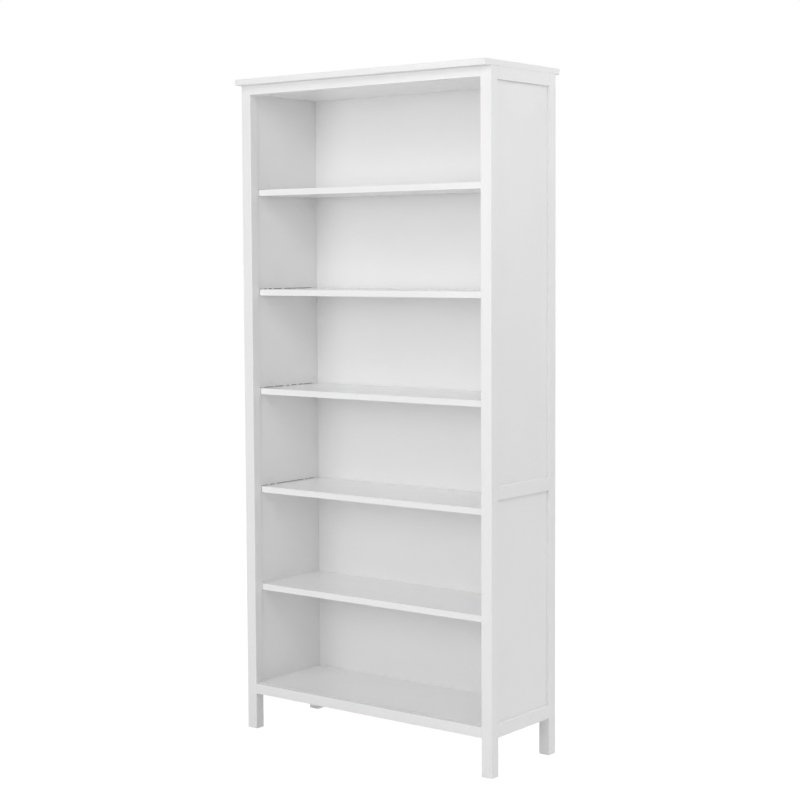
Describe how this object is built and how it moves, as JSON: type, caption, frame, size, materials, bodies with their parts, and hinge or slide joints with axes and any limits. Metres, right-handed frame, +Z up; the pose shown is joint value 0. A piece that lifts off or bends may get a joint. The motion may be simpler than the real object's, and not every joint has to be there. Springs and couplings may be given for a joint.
{
  "type": "bookcase with adjustable shelves",
  "caption": "Tall white frame-and-panel bookcase on four square post feet, with an overhanging top, one fixed shelf and adjustable shelves that rest on pins.",
  "frame": {"origin": "on the floor, at the centre of the bookcase's overall box", "axes": "+X along the width to the right as seen from the front, -Y towards the open front, +Z up"},
  "size_m": [0.91, 0.37, 1.97],
  "materials": {
    "white_paint": "white satin paint on solid pine and board",
    "white_shelf": "white satin paint on board",
    "white_board": "white painted inner side board",
    "back_board": "thin board, white on the front and raw on the back",
    "pin_steel": "nickel-plated steel",
    "cam_zinc": "die-cast zinc",
    "fixing_steel": "zinc-plated steel",
    "beech": "raw beech dowel",
    "white_plastic": "moulded plastic"
  },
  "bodies": {
    "carcass": {"top_panel": "white_paint", "front_top_rail": "white_paint", "front_bottom_rail": "white_paint", "rear_top_rail": "white_paint", "rear_bottom_rail": "white_paint", "left_front_post": "white_paint", "right_front_post": "white_paint", "left_rear_post": "white_paint", "right_rear_post": "white_paint", "left_top_rail": "white_paint", "left_middle_rail": "white_paint", "left_bottom_rail": "white_paint", "right_top_rail": "white_paint", "right_middle_rail": "white_paint", "right_bottom_rail": "white_paint", "left_upper_panel": "white_paint", "left_lower_panel": "white_paint", "right_upper_panel": "white_paint", "right_lower_panel": "white_paint", "inner_top_board": "white_shelf", "bottom_shelf": "white_shelf", "fixed_shelf": "white_shelf", "left_side_board": "white_board", "right_side_board": "white_board", "upper_back_panel": "back_board", "lower_back_panel": "back_board", "shelf_1_pins": "pin_steel", "shelf_2_pins": "pin_steel", "shelf_3_pins": "pin_steel", "shelf_4_pins": "pin_steel", "cam_locks": "cam_zinc", "cam_bolts": "fixing_steel", "top_screws": "fixing_steel", "back_nails": "fixing_steel", "shelf_dowels": "beech", "rail_dowels": "beech", "side_dowels": "beech", "foot_glides": "white_plastic", "wall_spacers": "white_plastic"},
    "shelf_1": {"adjustable_shelf_1": "white_shelf"},
    "shelf_2": {"adjustable_shelf_2": "white_shelf"},
    "shelf_3": {"adjustable_shelf_3": "white_shelf"},
    "shelf_4": {"adjustable_shelf_4": "white_shelf"}
  },
  "joints": [
    {"name": "shelf_1_lift", "type": "slide", "parent": "carcass", "child": "shelf_1", "axis": [0, 0, 1], "range_m": [0, 0.279]},
    {"name": "shelf_2_lift", "type": "slide", "parent": "carcass", "child": "shelf_2", "axis": [0, 0, 1], "range_m": [0, 0.279]},
    {"name": "shelf_3_lift", "type": "slide", "parent": "carcass", "child": "shelf_3", "axis": [0, 0, 1], "range_m": [0, 0.279]},
    {"name": "shelf_4_lift", "type": "slide", "parent": "carcass", "child": "shelf_4", "axis": [0, 0, 1], "range_m": [0, 0.279]}
  ]
}
